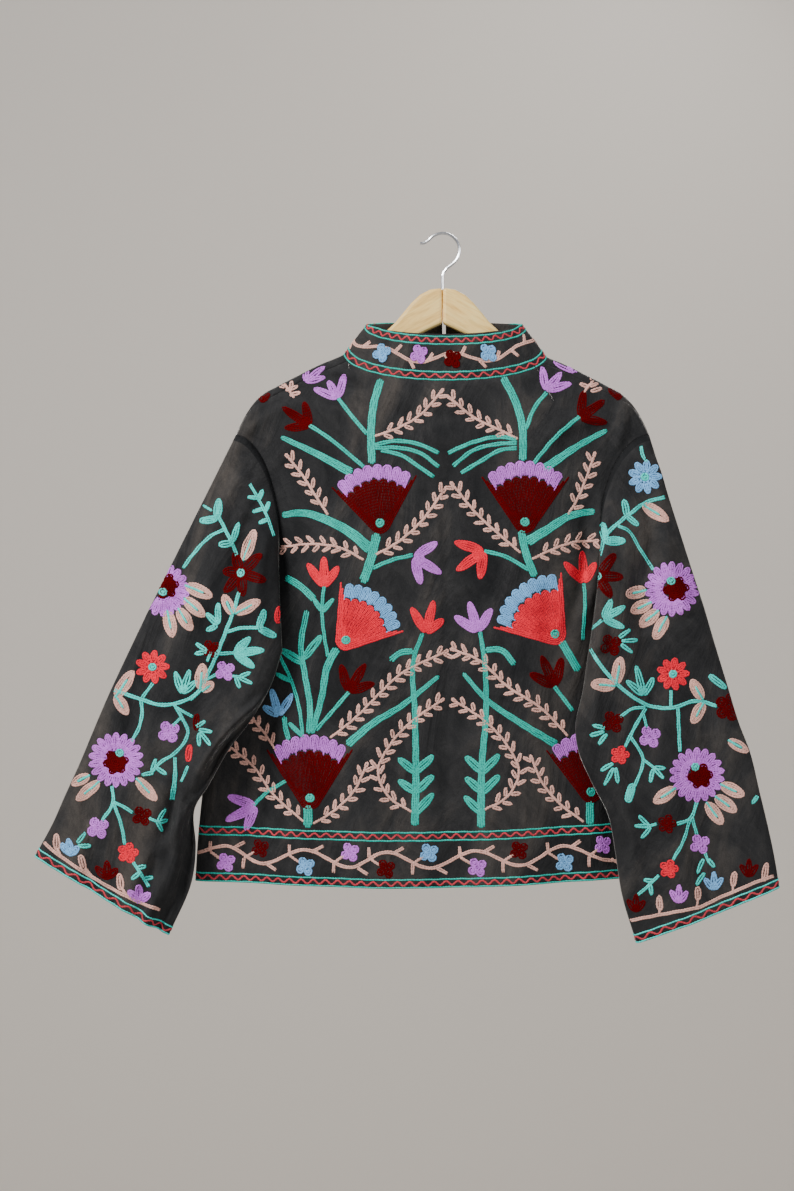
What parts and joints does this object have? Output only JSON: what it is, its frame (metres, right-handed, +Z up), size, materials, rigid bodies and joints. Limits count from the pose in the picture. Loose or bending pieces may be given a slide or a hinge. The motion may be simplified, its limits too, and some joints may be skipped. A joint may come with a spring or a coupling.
{
  "type": "velvet jacket on wooden hanger",
  "caption": "Hip-length velvet jacket with a stand collar and wide sleeves, embroidered with flowers and hung by its shoulders on a wooden hanger with a steel hook.",
  "frame": {"origin": "the point inside the top of the hanger's hook where it hangs on its nail or rail", "axes": "+Z up; the jacket's back faces -Y and its open front faces +Y; +X is to the right when looking at the back, so the wearer's right sleeve is at +X"},
  "size_m": [0.8464, 0.0783, 0.8119],
  "materials": {
    "velvet": "charcoal cotton velvet with a brushed nap",
    "embroidery": "thick chain stitch in wool-like thread, teal, pink, lilac, maroon, coral and blue",
    "wood": "clear lacquered pale wood",
    "steel": "bright steel wire"
  },
  "bodies": {
    "root": {"back": "velvet", "front_left": "velvet", "front_right": "velvet", "collar": "velvet", "sleeve_left": "velvet", "sleeve_right": "velvet", "hanger_wood_left": "wood", "hanger_wood_right": "wood", "hanger_hook": "steel"}
  },
  "joints": []
}
